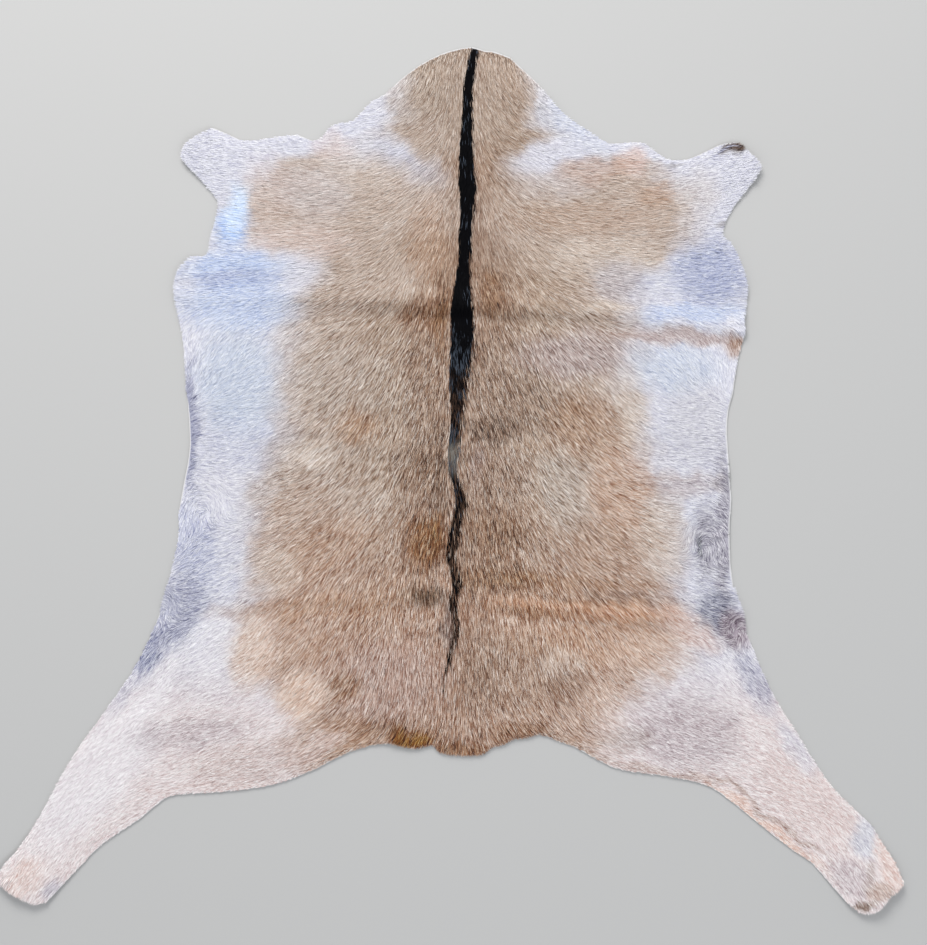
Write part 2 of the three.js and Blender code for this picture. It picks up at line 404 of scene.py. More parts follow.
# %% Lay out the fawn saddle
SADDLE = """
place           |   y|left|right
top of the neck | 490| -72|   95
neck            | 450| -54|  100
neck            | 415| -56|   97
neck            | 395| -62|   94
foot of the neck| 378|-130|  130
foot of the neck| 352|-196|  232
shoulder        | 325|-224|  252
shoulder        | 300|-238|  266
shoulder        | 275|-222|  270
elbow           | 252|-212|  256
elbow           | 235|-188|  212
above the crease| 205|-182|  196
ribs            | 150|-180|  200
ribs            | 100|-190|  200
middle          |  50|-184|  212
middle          |   0|-216|  222
middle          | -50|-226|  246
loin            |-100|-222|  246
loin            |-150|-212|  248
hip             |-180|-210|  244
hip             |-210|-222|  240
thigh           |-235|-190|  212
thigh           |-262|-170|  178
rump edge       |-290|-176|  172
rump edge       |-330|-160|  160
"""
SADDLE_BLEND = 64
saddle_rows = read_table(SADDLE)

def saddle_share(x, y):
    left = at_station(saddle_rows, 2, y)
    right = at_station(saddle_rows, 3, y)
    ragged = 9 * soft_noise(x, y, 26, 5) + 5 * soft_noise(x, y, 9, 6)
    inside = np.minimum(x - left, right - x) + ragged
    return ease(np.clip(0.5 + inside / SADDLE_BLEND, 0, 1))

print("saddle at the back and at the left flank:", saddle_share(np.array([0, -280.0]), np.array([0, 0.0])))

# %% [markdown]
# Over the saddle and the pale hair come the markings: soft patches, each with its middle, its half length
# and half width, the turn of its length from the x axis, its colour, and how strongly it covers. Those with a
# negative x are left of the middle, and the others right of it.
# Some rows are painted light and shade, not hair colour. Painted shade in and below the creases: upper crease
# inner, outer, line and band; stripe side, crease; lower crease inner, gold and the two plain rows; and the
# middle crease rows. Painted shade beside folds and curls: elbow shade, both thigh shades and both foot
# shades.
# Painted highlights: upper crease light, elbow bright, both hip brights, and the left leg's bright and bright
# line. Painted sheen on the white hair: foreleg bright and foreleg sheen.

# %% Place the markings and the painted light and shade
MARKS_AND_PAINTED_LIGHT = """
place                 |   x|   y|long|wide|turn|colour    |cover
neck, light           |  10| 430|  80|  66|   0|grey_tan  |  0.4
neck foot, soft       | 134| 352|  60|  32|  18|white     |  0.8
neck foot, soft       | -74| 352|  64|  32| -24|white     |    1
pale neck side        | -84| 388|  56|  21| -44|white     | 0.45
pale neck side, inner | -52| 350|  46|  16| -22|lavender  | 0.38
pale neck side        | 132| 398|  62|  24| -50|cool_white|  0.3
pale neck side, lower | 110| 362|  48|  17|  14|white     | 0.85
neck, warm            | -25| 382|  36|  22| -25|light_fawn|  0.6
neck, dark            |  74| 425|  18|  26|   0|deep_fawn | 0.22
shoulders, light      | -95| 310| 100|  46|   0|light_fawn| 0.95
by the back, light    | -85| 232|  55|  36|   0|light_fawn| 0.65
shoulder top          |-104| 350|  46|  28|   0|cream     |  0.3
shoulders, light      | 110| 290| 100|  50|   0|light_fawn|  0.6
shoulder lobe         |-132| 374|  22|  16|   0|pinkish   |  0.4
shoulder              |-170| 338|  30|  14|   0|pink_tan  |  0.1
shoulder, pink        |-152| 320|  44|  34|   0|white     |  0.3
shoulder, orange      |-160| 297|  50|  10|   0|orange_tan|  0.1
shoulder, outer       |-208| 322|  30|  40|   0|pinkish   | 0.25
shoulder, pale        |-172| 262|  62|  22|   0|pinkish   | 0.42
shoulder, orange      | 228| 319|  25|  14|   0|orange_tan| 0.45
shoulder, lobe        | 200| 356|  18|  16|   0|pinkish   | 0.85
shoulder, upper       | 160| 346|  44|  17|   5|orange_tan|  0.5
shoulder              | 150| 292|  90|  18|   0|orange_tan|  0.2
shoulder, pale        | 165| 246|  64|  24|   0|cream     | 0.55
shoulder, pale, outer | 188| 224|  34|  22|   0|lavender  |  0.3
stripe side           | -24| 262|  22|  48|   0|orange_tan| 0.35
stripe side           |  48| 240|  24|  50|   0|brown     | 0.32
stripe side, shoulders|  31| 300|   8|  40|   0|brown     |  0.5
above the crease, dark|  46| 212|  16|  20|   0|russet    | 0.75
above the crease      |-184| 230|  42|  26|   0|white     | 0.85
upper crease, inner   | -24| 186|  34|  17|  10|amber     |  0.6
stripe side, crease   |  -9| 182|   9|  44|   0|russet    |  0.7
upper crease, outer   |-115| 193|  60|   7|   0|brown     |  0.2
upper crease, inner   |  52| 190|  24|  12|  -5|russet    | 0.65
upper crease, line    | 140| 180| 110|   4|  -6|brown     |  0.2
upper crease, light   | 165| 193|  30|   8|   0|cream     | 0.75
upper crease, band    | 255| 159|  75|   9|  -3|pink_tan  | 0.58
upper crease, end     | 319| 151|  12|  12|   0|golden    |  0.6
ribs, by the back     | -25| 128|  26|  60|   0|amber     | 0.22
ribs                  |-120| 110|  60|  40| -20|grey_tan  |  0.2
ribs, orange          |-106|  60|  26|  19|   0|tan       | 0.75
ribs, pale, outer     |-155|  32|  36|  16|   0|cream     |  0.6
middle crease         |-146|  52|  38|   3|   2|brown     |  0.3
ribs, by the back     |  50| 120|  40|  44|   0|brown     |  0.5
ribs, dark            |  94|  82|  44|  30|   0|brown     | 0.52
ribs                  | 140| 140|  60|  26|   0|plum_grey |  0.4
ribs, orange          | 150|  60|  42|  36| -25|tan       | 0.64
ribs, orange, outer   | 200|  80|  16|  40|   0|cream     |  0.5
middle, dark          | -30|  16|  26|  28|   0|russet    | 0.42
stripe side, middle   | -12| -18|   9|  68|   0|umber     |  0.5
middle, dark          |  44|  56|  26|  13|   0|umber     |  0.8
middle crease         |  66|  52|  36|   3|   0|brown     | 0.35
middle, stripe side   |  28|  12|   9|  26|   0|plum_grey |  0.2
middle, pink          |  60|  10|  34|  26|   0|pink_tan  | 0.15
middle, shade         |  56|  -2|  36|  26|   0|brown     | 0.62
middle, pale          | 124| -15|  24|  44|  10|grey_tan  | 0.45
middle, orange        | 190| -10|  34|  50|   0|apricot   |  0.3
middle, pinkish edge  | 250|  -5|  45|  14|   0|pink_tan  |  0.3
middle crease, flank  | 209|   3|  88|   2|   0|pink_tan  | 0.15
middle, pale          | -95| -25|  30|  22|   0|cream     | 0.25
middle                |-165| -35|  40|  34|   0|orange_tan| 0.15
flank, by the back    | -28| -68|  28|  34|   0|amber     | 0.85
flank, orange         |-140| -80|  56|  30|  30|orange_tan| 0.45
flank, light          |-195|-102|  30|  26|   0|cream     |  0.5
stripe side, lower    |  15| -60|  10|  60|   0|brown     |  0.6
flank, by the back    |  55| -60|  36|  30|   0|russet    | 0.64
flank, pale           | 110| -88|  40|  14|   0|deep_fawn |  0.1
flank, orange         | 172| -80|  42|  34| -25|tan       | 0.38
loin, dark            |  52|-110|  48|  19|   0|russet    |  0.8
lower crease, above   | -36|-106|  20|  10|   0|russet    |  0.4
lower crease, inner   | -30|-127|  26|  10|   0|umber     |    1
lower crease          |-125|-122| 120|   8|   4|golden    | 0.12
lower crease, under   |-140|-141| 110|  14|   4|orange_tan|  0.7
lower crease          | 150|-131| 100|   7|  -5|russet    |  0.5
loin, gold            | 150|-115|  90|   9|  -4|golden    | 0.45
lower crease, under   | 150|-146| 115|  13|  -4|apricot   |  0.5
lower crease, gold    | 100|-146|  45|   8|  -4|amber     |  0.5
lower crease, end     | 235|-166|  36|  14| -12|orange_tan|  0.3
loin                  |-150|-180|  90|  30|   0|orange_tan|  0.3
loin                  | 160|-182|  90|  26|   0|orange_tan| 0.55
rump                  | -70|-225|  64|  50|   0|pink_tan  | 0.75
rump                  |  80|-215|  60|  40|   0|deep_fawn | 0.45
rump, light           | 122|-205|  24|  16|   0|cream     | 0.35
hip, pale gold        |-222|-190|  24|  44| -10|pale_tan  |  0.8
hip, dark             |-122|-232|  20|  17| -10|golden    |  0.5
thigh, light          |-165|-242|  26|  28|   0|pale_tan  | 0.95
hip, dark             | 126|-234|  22|  20|   0|russet    | 0.25
thigh, light          | 168|-245|  26|  24|   0|pale_tan  |  0.3
rump, by the back     | -28|-245|  14|  50|   0|deep_fawn | 0.08
rump, by the back     |  30|-215|  26|  60|   0|brown     | 0.34
stripe end, shade     |  -1|-162|   9|  28|   0|taupe     |  0.6
rump edge             | -42|-288|  28|  12|   0|amber     | 0.95
rump edge, deep       | -46|-290|  22|   6|   0|amber     |  0.9
rump edge, gold       | -78|-281|  30|  14|   8|amber     |  0.5
rump edge, outer      |-110|-285|  30|  20|  10|orange_tan|  0.5
tail lobe             |  15|-303|  46|   9|   0|amber     |  0.7
rump edge             |  80|-283|  36|  13|   0|amber     |  0.6
thigh, brown edge     |-150|-300|  34|  14|  25|pinkish   |  0.5
foreleg, bright       |-245| 282|  18|  23|  -6|pale_blue |    1
foreleg, sheen        |-240| 300|  12|  30|  -8|ice       |  0.9
elbow, blue           |-240| 236|  54|  20|   0|pale_blue | 0.65
elbow, shade          |-246| 222|  42|  12|   0|lavender  |  0.7
chest                 |-235| 195|  66|  26|   0|pale_blue |  0.5
flank, cool           |-240| 110|  46|  60|   0|cool_white|  0.7
flank, lavender       |-230|  40|  50|  30|   0|lavender  | 0.15
flank, pinkish        |-255| -20|  26|  36|   0|snow      |  0.3
flank edge            |-292|  60|   7|  70|   0|blue_grey |    1
flank, lower          |-262| -60|  34|  40|   0|white     |  0.4
flank, whorl          |-272| -52|   8|  20|   0|blue_grey | 0.15
flank edge, lower     |-290| -75|  24|  50|  10|lavender  |  0.4
hip, blue             |-304|-148|  26|  40| -18|blue_grey | 0.64
hip, blue, lower      |-340|-188|  30|  17|  52|blue_grey |    1
hip, bright           |-262|-184|  22|  44| -20|snow      | 0.55
leg, outer edge       |-366|-236|  54|  14|  56|lavender  | 0.25
leg, bright           |-400|-330| 110|  42|  48|snow      |  0.8
leg, bright line      |-324|-228|  58|  12|  54|snow      |  0.6
leg, warm             |-225|-320|  70|  24|   4|pink_tan  | 0.25
leg, inner edge       |-240|-345|  90|   7|   2|pinkish   |  0.5
thigh, shade          |-290|-285|  70|  18|   5|plum_grey |  0.3
foot                  |-478|-445|  26|  16|  40|peach     |  0.3
foot, shade           |-446|-460|  14|  12|  50|blue_grey | 0.35
elbow, blue           | 290| 230|  40|  38| -10|lavender  |  0.8
elbow, bright         | 270| 185|  56|  11|   0|pale_blue | 0.45
elbow, blue, deep     | 296| 225|  24|  26|   0|lavender  |  0.3
chest                 | 250| 125|  50|  26|   0|cool_white|  0.6
flank                 | 275|  60|  34|  54|   0|grey_tan  |  0.1
flank edge, spot      | 300|  -5|   8|  14|   0|brown     | 0.25
flank, whorl          | 285| -70|  14|  40|   0|lilac     | 0.75
flank, spot           | 280| -77|   5|   8|   0|slate     |  0.7
flank edge            | 305| -60|   9|  90|   0|lilac     | 0.85
beside the whorl      | 236| -68|  26|  46|   0|cream     |  0.5
below the crease end  | 228|-196|  46|  26|   0|pale_tan  |  0.5
hip, blue             | 294|-146|  22|  22| -40|steel     | 0.75
hip, purple           | 318|-168|  18|  24|  20|mauve     | 0.85
hip, blue, lower      | 342|-226|  16|  34|  27|blue_grey |  0.5
hip, bright           | 308|-218|  14|  30|  20|snow      | 0.15
hip, warm             | 272|-172|  30|  16| -30|peach     |  0.5
leg, outer edge       | 385|-300|  36|  12| -55|white     |  0.6
thigh, shade          | 262|-285|  60|  36| -10|plum_grey | 0.42
thigh, brown          | 196|-292|  26|  14|   0|brown     | 0.25
thigh, inner edge     | 236|-328|  70|   7|  -8|pink_tan  |  0.5
thigh, spot           | 308|-268|  12|  14|   0|plum_grey | 0.25
leg                   | 400|-365|  70|  36| -42|pinkish   |  0.5
leg, inner edge       | 350|-386|  80|   6| -38|peach     |  0.7
leg, inner line       | 355|-376|  80|   3| -38|pink_tan  |  0.6
foot, pale            | 462|-402|  14|  22|   0|cool_white|  0.5
foot, outer           | 492|-432|  12|  36|  20|peach     | 0.38
foot, shade           | 446|-446|  30|  16| -40|plum_grey | 0.35
foot, corner          | 480|-458|  12|  10|   0|tan       |  0.4
foot, fold            | 468|-442|   6|  14|   0|brown     | 0.22
foot, tip             | 466|-474|  16|   4|  20|brown     |  0.8
foreleg, tip          | 317| 370|  15|   6|  20|dark_brown|    1
foreleg, tip, line    | 304| 366|  14|   2|  20|blue_grey |  0.8
foreleg, upper edge   | 248| 355|  12|   2|   5|dark_brown| 0.35
foreleg, under        | 300| 288|   9|   3|  40|dark_brown| 0.35
foreleg, warm         | 275| 320|  24|  26|   0|cream     | 0.35
"""
mark_and_light_rows = read_table(MARKS_AND_PAINTED_LIGHT)
print(len(mark_and_light_rows), "markings")

# %% [markdown]
# Painting works as it would on paper: first the pale hair, then the saddle, then each marking over what is
# there. The saddle is deeper within some 18 mm of the back line, lighter from 90 mm outwards, and rosier over
# the loin and rump. The edges of the patches are warped by soft noise, because no marking on a goat ends in
# an ellipse.

# %% Paint a place of the coat
ROSY = 0.38
PATCH_OUTER, PATCH_INNER = 1.45, 0.5
FARTHEST_PATCH = 220

def saddle_tone(x, y):
    across = np.abs(x - back_x(y)) + 10 * soft_noise(x, y, 35, 15)
    near = fade(across, 78, 18)[:, None]
    far = fade(across, 90, 180)[:, None]
    rear = ROSY * fade(y, 10, -140)[:, None]
    tone = paint["fawn"] * (1 - near) + paint["deep_fawn"] * near
    tone = tone * (1 - far) + paint["light_fawn"] * far
    return tone * (1 - rear) + paint["rosy_tan"] * rear

def patch_share(x, y, row):
    _, middle_x, middle_y, long, wide, turn, _, cover = row
    across, along = across_and_along(x, y, middle_x, middle_y, turn)
    reach = np.hypot(along / long, across / wide)
    return cover * ease(fade(reach, PATCH_OUTER, PATCH_INNER))

def coat_colour(x, y):
    bent_x = x + 5 * soft_noise(x, y, 17, 7) + 2.5 * soft_noise(x, y, 6, 8)
    bent_y = y + 5 * soft_noise(x, y, 17, 9) + 2.5 * soft_noise(x, y, 6, 10)
    saddle = saddle_share(bent_x, bent_y)[:, None]
    legs = fade(bent_y, -180, -270)[:, None]
    colour = paint["white"] * (1 - legs) + (paint["snow"] * 0.5 + paint["pinkish"] * 0.5) * legs
    colour = colour * (1 - saddle) + saddle_tone(bent_x, bent_y) * saddle
    # Some of these patches are painted shade and painted highlights, not hair colour; the note above the
    # table names them.
    for row in mark_and_light_rows:
        near = (np.abs(x - row[1]) < FARTHEST_PATCH) & (np.abs(y - row[2]) < FARTHEST_PATCH)
        share = patch_share(bent_x[near], bent_y[near], row)[:, None]
        colour[near] = colour[near] * (1 - share) + paint[row[6]] * share
    return colour

print("colour of the left ribs:", coat_colour(np.array([-150.0]), np.array([60.0])).round(3))

# %% [markdown]
# A black stripe runs down the back. Its left edge is sharp and its right one ragged, most of all over the
# ribs. It narrows and wanders behind them, has a grey gap in the middle, and fades out before the tail.

# %% Draw the stripe down the back
STRIPE = """
place           |   y|left|right|depth
top of the neck | 484|  26|   31|    1
neck            | 463|  18|   28|    1
neck            | 442|  14|   25|    1
neck            | 400|  12|   25|    1
foot of the neck| 363|   9|   25|    1
foot of the neck| 330|   9|   28|    1
shoulders       | 303|  11|   26|    1
shoulders       | 248|   9|   22|    1
above the crease| 215|   3|   23|    1
crease          | 190|   0|   25|    1
ribs            | 155|   0|   26|    1
ribs            | 120|  -1|   21|    1
ribs            |  90|  -1|   16|    1
middle          |  58|   0|   12|    1
grey gap        |  42|  -2|   11|    1
grey gap        |  22|  -4|   10|    1
middle          |   8|  -2|    6|    1
middle          | -10|   3|   14|    1
middle          | -29|   5|   20|    1
flank           | -46|   0|   13| 0.95
flank           | -64|  -3|    9| 0.95
flank           | -83|  -6|    4| 0.93
flank           |-102|  -1|    9| 0.95
loin            |-118|   2|   13| 0.97
loin            |-136|  -3|    7| 0.95
loin            |-155|   1|    9|  0.8
hip             |-172|   3|   11| 0.85
hip             |-192|  -3|    4| 0.85
rump            |-218|  -9|   -3|  0.5
rump            |-245|  -9|   -5| 0.12
"""
LEFT_FRAY, RIGHT_FRAY = 1.8, 4.5
RIB_FRAY, RIBS_Y, RIBS_LENGTH = 6, 105, 55
stripe_rows = read_table(STRIPE)

def stripe_share(x, y):
    left = at_station(stripe_rows, 2, y)
    right = at_station(stripe_rows, 3, y)
    depth = at_station(stripe_rows, 4, y, left=0, right=1)
    ragged = 0.8 * soft_noise(x, y, 5, 11) + 1.2 * soft_noise(x, y, 14, 12)
    fray = RIGHT_FRAY + RIB_FRAY * np.exp(-(((y - RIBS_Y) / RIBS_LENGTH) ** 2))
    from_left = (x - left + 0.5 + ragged * 0.4) / LEFT_FRAY
    from_right = (right - x + ragged * 1.3) / fray
    return depth * np.clip(0.5 + np.minimum(from_left, from_right), 0, 1)

print("stripe on the back line at the shoulders:", stripe_share(np.array([16.0]), np.array([300.0])))

# %% [markdown]
# ## Growing the hair
# Each hair is a slim blade of two triangles: a root, two points at its widest place and a tip. The roots are
# spread evenly over the sheet by picking triangles by their area and a random place in each.

# %% Scatter the roots over the sheet
LEATHER_THICKNESS = 1.3 * MM
HAIRS = 436000

def scatter(count):
    mesh = leather.data
    mesh.calc_loop_triangles()
    corners = np.empty(len(mesh.loop_triangles) * 3, int)
    mesh.loop_triangles.foreach_get("vertices", corners)
    corners = corners.reshape(-1, 3)
    normals = np.empty(len(mesh.vertices) * 3)
    mesh.vertices.foreach_get("normal", normals)
    normals = normals.reshape(-1, 3)
    places = sheet_points()
    a, b, c = (places[corners[:, k]] for k in range(3))
    areas = np.linalg.norm(np.cross(b - a, c - a), axis=1) / 2
    steps = (np.arange(count) + chance.random(count)) / count
    picked = np.searchsorted(np.cumsum(areas) / areas.sum(), steps)
    picked = np.clip(picked, 0, len(corners) - 1)
    u, v = chance.random(count), chance.random(count)
    over = u + v > 1
    u[over], v[over] = 1 - u[over], 1 - v[over]
    shares = np.stack([1 - u - v, u, v], axis=-1)
    roots = np.einsum("ij,ijk->ik", shares, places[corners[picked]])
    up = np.einsum("ij,ijk->ik", shares, normals[corners[picked]])
    margin = np.einsum("ij,ij->i", shares, sheet_margin[corners[picked]])
    return roots, up / np.linalg.norm(up, axis=1, keepdims=True), margin, areas.sum()

roots, ups, margins, sheet_area = scatter(HAIRS)
roots[:, 2] += LEATHER_THICKNESS
print(HAIRS, "hairs on", round(sheet_area, 4), "square metres")

# %% [markdown]
# Along both flanks the hair stops a little before the cut and shows a pale rim of bare leather. The table
# gives those stretches; elsewhere the hair hangs a few millimetres over the edge.

# %% Keep the hair off the bare rims
BARE_RIMS = """
place      |side|from|  to|width
left flank |  -1| 100| -30|  2.4
right flank|   1| 130|-120|  3.2
"""
RIM_FADE = 12
FLANKS_FROM = 200
RIM_UNEVEN = 0.25

root_x, root_y = roots[:, 0] / MM, roots[:, 1] / MM
bare = np.zeros(HAIRS)
for _, side, start, end, width in read_table(BARE_RIMS):
    beside = fade(root_y, start, start - RIM_FADE) * fade(root_y, end, end + RIM_FADE)
    bare = np.maximum(bare, width * beside * (side * root_x > FLANKS_FROM))
kept = margins / MM > bare * (1 + RIM_UNEVEN * chance.uniform(-1, 1, HAIRS))
roots, ups, margins, bare = roots[kept], ups[kept], margins[kept], bare[kept]
root_x, root_y = root_x[kept], root_y[kept]
print(len(roots), "hairs stay")

# %% [markdown]
# Neighbouring hairs lie together in locks. Every hair belongs to the nearest of many scattered lock middles.
# A lock's number picks its own five random values: two place its middle, one turns its hairs, one changes
# their length, and the last is spare.

# %% Gather the hairs into locks
LOCK = 2.5
LOCK_NUMBERS = 60013
STEP_I, STEP_J = 7919, 104729
lock_random = chance.uniform(-1, 1, (LOCK_NUMBERS, 5))

def lock_of(x, y):
    best = np.full(len(x), np.inf)
    lock_x, lock_y, lock_id = np.zeros(len(x)), np.zeros(len(x)), np.zeros(len(x), int)
    i, j = np.floor(x / LOCK).astype(int), np.floor(y / LOCK).astype(int)
    for di in (-1, 0, 1):
        for dj in (-1, 0, 1):
            number = ((i + di) * STEP_I + (j + dj) * STEP_J) % LOCK_NUMBERS
            middle_x = (i + di + 0.5 + 0.45 * lock_random[number, 0]) * LOCK
            middle_y = (j + dj + 0.5 + 0.45 * lock_random[number, 1]) * LOCK
            gap = np.hypot(x - middle_x, y - middle_y)
            closer = gap < best
            best = np.where(closer, gap, best)
            lock_x = np.where(closer, middle_x, lock_x)
            lock_y = np.where(closer, middle_y, lock_y)
            lock_id = np.where(closer, number, lock_id)
    return lock_x, lock_y, lock_id

lock_x, lock_y, lock_id = lock_of(root_x, root_y)
print("hairs in a lock:", round(len(roots) / len(np.unique(lock_id)), 1))

# %% [markdown]
# Hair length and width follow the place: short on the legs and white flanks, longer on the back. A hair near
# the edge is cut back so that it never hangs far past the leather. A hair is black where its outer part lies
# in the stripe. Each hair turns a few degrees from the lie, partly with its lock and less near the back line,
# where the coat is calmer.

# %% Size every hair
PALE_LENGTH, SADDLE_LONGER, STRIPE_SHORTER = 9.5, 4.0, 2.0
SHORTEST, LONGEST = 4, 20
OWN_LENGTH, LOCK_LENGTH = 0.16, 0.1
HAIR_WIDTH, WIDTH_CHANGE = 0.66, 0.08
OWN_TURN, LOCK_TURN = 6.5, 3
CALM_BACK, CALM_HALF = 0.6, 16
OUTER_PART = 7

lie = hair_lie(root_x, root_y)
near_back = np.exp(-(((root_x - back_x(root_y)) / CALM_HALF) ** 2))
own_turn = np.radians(OWN_TURN) * chance.normal(0, 1, len(roots))
turn = np.radians(LOCK_TURN) * lock_random[lock_id, 2] + own_turn
turn *= 1 - CALM_BACK * near_back
lie = turned(lie, turn)
saddle = saddle_share(root_x, root_y)
stripe = stripe_share(root_x + OUTER_PART * lie[:, 0], root_y + OUTER_PART * lie[:, 1])
is_stripe = stripe > chance.random(len(roots))
stripe = np.where(is_stripe, 1.0, 0.0)
own_length = 1 + OWN_LENGTH * chance.normal(0, 1, len(roots)) + LOCK_LENGTH * lock_random[lock_id, 3]
length = (PALE_LENGTH + SADDLE_LONGER * saddle - STRIPE_SHORTER * stripe) * own_length
overhang = chance.uniform(-0.3, 2.2, len(roots))
outward = np.clip(np.sign(root_x) * lie[:, 0], 0.2, 1)
reach = np.where(bare > 0, (margins / MM - 0.6 * bare) / outward, margins / MM + overhang + 2)
length = np.minimum(np.clip(length, SHORTEST, LONGEST), reach)
width = (HAIR_WIDTH - WIDTH_CHANGE * saddle + WIDTH_CHANGE * stripe) * chance.uniform(0.75, 1.3, len(roots))
print("lengths from", length.min().round(1), "to", length.max().round(1), "mm")

# %% [markdown]
# The blade's middle lies close to the skin and its tip a little higher, pulled in towards the lock's own
# line, which opens the small dark partings between the locks. Each blade is rolled about its length at
# random, so that some catch the light and some don't.

# %% Shape every hair
WIDEST_AT = 0.42
LIFT, LIFT_SPREAD = 9, 3
FLATTEST, STEEPEST = 3, 18
MIDDLE_PULL, MIDDLE_RISE = 0.05, 0.55
TIP_PULL, TIP_RISE = 0.18, 0.85
ROLL, SADDLE_ROLL = 10, 8
LOWEST = 0.4 * MM
ABOVE_LEATHER = 0.15 * MM

def shape_hairs():
    slope = -(ups[:, 0] * lie[:, 0] + ups[:, 1] * lie[:, 1]) / ups[:, 2]
    lift_angle = np.clip(LIFT + LIFT_SPREAD * chance.normal(0, 1, len(roots)), FLATTEST, STEEPEST)
    lift = np.tan(np.radians(lift_angle))
    side = np.stack([-lie[:, 1], lie[:, 0]], axis=-1)
    to_lock = (lock_x - root_x) * side[:, 0] + (lock_y - root_y) * side[:, 1]
    gather = 0.35 + 0.65 * saddle
    bend = chance.normal(0, 0.5, len(roots)) * (1 - CALM_BACK * near_back)
    middle, tip = roots.copy(), roots.copy()
    ends = ((middle, WIDEST_AT, MIDDLE_PULL, MIDDLE_RISE), (tip, 1.0, TIP_PULL, TIP_RISE))
    for end, share, pull, rise in ends:
        sideways = (to_lock * pull * gather + bend * share * share) * MM
        forward = length * share * MM
        end[:, :2] += lie * forward[:, None] + side * sideways[:, None]
        end[:, 2] += slope * forward + lift * forward * rise + ABOVE_LEATHER
    roll = np.radians(ROLL + SADDLE_ROLL * saddle) * chance.uniform(-1, 1, len(roots))
    half = (width * MM / 2)[:, None]
    across = np.concatenate([side * np.cos(roll)[:, None], np.sin(roll)[:, None]], axis=1) * half
    shapes = np.stack([roots, middle - across, middle + across, tip], axis=1)
    shapes[:, :, 2] = np.maximum(shapes[:, :, 2], LOWEST)
    return shapes

blades = shape_hairs()
print("blades", blades.shape, "reach up to", round(blades[:, :, 2].max() * 1000, 1), "mm")

# %% [markdown]
# ## Colouring the hair
# Each hair takes the coat's colour where its outer half is seen, with more or less pigment in it: a colour
# raised to a power gets deeper and warmer, or paler, as hair does. Most of the pigment differs from hair to
# hair. Some of it runs in fine streaks along the lie, found by averaging fine noise along each hair. Both are
# strongest on the back and the loin and round the whorls, and weaker on the neck and shoulders.
#
# In the stripe, some hairs of the ribs and shoulders are painted slate blue, a painted sheen standing for the
# shine on black hair, and wisps of brown show behind them.

# %% Tint every hair
SEEN_AT = 0.6
STREAK_WIDTH, STREAK_REACH = 0.55, 2.3
STREAK_PART, OWN_PART = 0.2, 0.72
WARMER = 1.07
GREY_GAP_Y, GREY_GAP_HALF = 24, 17

def streaks(x, y, lie, width, shift):
    total = np.zeros(len(x))
    for step in np.arange(-STREAK_REACH, STREAK_REACH + 0.1, 0.8 * width):
        total += soft_noise(x + step * lie[:, 0], y + step * lie[:, 1], width, shift)
    return total / total.std()

def liveliness(x, y):
    rear = fade(y, 250, 140)
    inner = fade(np.abs(x - back_x(y)), 250, 100)
    pale = 0.56 + 0.26 * fade(y, 60, -60)
    lively = pale * (1 - saddle) + 0.46 * saddle + 0.46 * saddle ** 2 * rear * (0.4 + 0.6 * inner)
    for _, middle_x, middle_y, reach, _ in whorl_rows:
        away = ((x - middle_x) ** 2 + (y - middle_y) ** 2) / (1.3 * reach) ** 2
        lively = np.maximum(lively, 0.9 * np.exp(-away))
    return lively

def tint_hairs():
    seen_x = root_x + SEEN_AT * length * lie[:, 0]
    seen_y = root_y + SEEN_AT * length * lie[:, 1]
    colour = coat_colour(seen_x, seen_y)
    gap = np.exp(-(((seen_y - GREY_GAP_Y) / GREY_GAP_HALF) ** 4))[:, None]
    dark = paint["black"] * (1 - gap) + paint["grey"] * gap
    draw = chance.random(len(roots))
    streaked = STREAK_PART * streaks(seen_x, seen_y, lie, STREAK_WIDTH, 21)
    varied = streaked + OWN_PART * chance.normal(0, 1, len(roots))
    varied += 0.06 * (soft_noise(root_x, root_y, 24, 13) + soft_noise(root_x, root_y, 9, 14))
    odd_hairs = 1 + lively * (0.4 * (draw > 0.88) - 0.3 * (draw < 0.2))
    pigment = np.exp(lively * varied) * odd_hairs
    colour = colour ** np.clip(WARMER * pigment, 0.3, 3)[:, None]
    colour = colour * (1 - stripe[:, None]) + dark * stripe[:, None]
    # Painted sheen: some black stripe hairs, in patches, take the slate colour in place of the shine on black
    # hair.
    glint = 0.12 + 0.4 * soft_noise(root_x, root_y, 7, 16)
    glint *= np.maximum(fade(seen_y, 190, 140), 0.15) * fade(seen_y, -60, 0)
    sheen = ((draw < glint) * stripe)[:, None]
    wisp = ((draw > 0.7) * stripe * fade(seen_y, 130, 70) * 0.8)[:, None]
    colour = colour * (1 - sheen) + paint["slate"] * sheen
    colour = colour * (1 - wisp) + paint["dark_brown"] * wisp
    return np.clip(colour, 0, 1)

lively = liveliness(root_x, root_y)
tints = tint_hairs()
print("mean tint:", tints.mean(0).round(3))

# %% [markdown]
# ## From blades to pieces
# The hair is split into seven long strips from flank to flank, so that no piece grows too heavy, and the
# black stripe is a piece of its own. Each hair also gets its own small cell in a UV map, row after row from
# rump to neck, which is where a baked colour of this hair goes.

# %% Build one piece of hair
CORNERS = [0, 1, 2, 1, 3, 2]
ALONG = np.array([0, WIDEST_AT, WIDEST_AT, 1.0])
CELL_U = np.array([0.06, 0.36, 0.36, 0.94])
CELL_V = np.array([0.50, 0.16, 0.84, 0.50])

def lay_cells(places, columns):
    count = len(places)
    rows = int(math.ceil(count / columns))
    order = np.argsort(places[:, 1])
    cell = np.empty((count, 2), int)
    for row in range(rows):
        members = order[row * columns:(row + 1) * columns]
        cell[members[np.argsort(places[members, 0])], 0] = np.arange(len(members))
        cell[members, 1] = row
    return cell, max(columns, rows)

def mark_points(mesh, name, kind, values):
    field = "color" if kind == "FLOAT_COLOR" else "value"
    mesh.attributes.new(name, kind, "POINT").data.foreach_set(field, values.ravel())

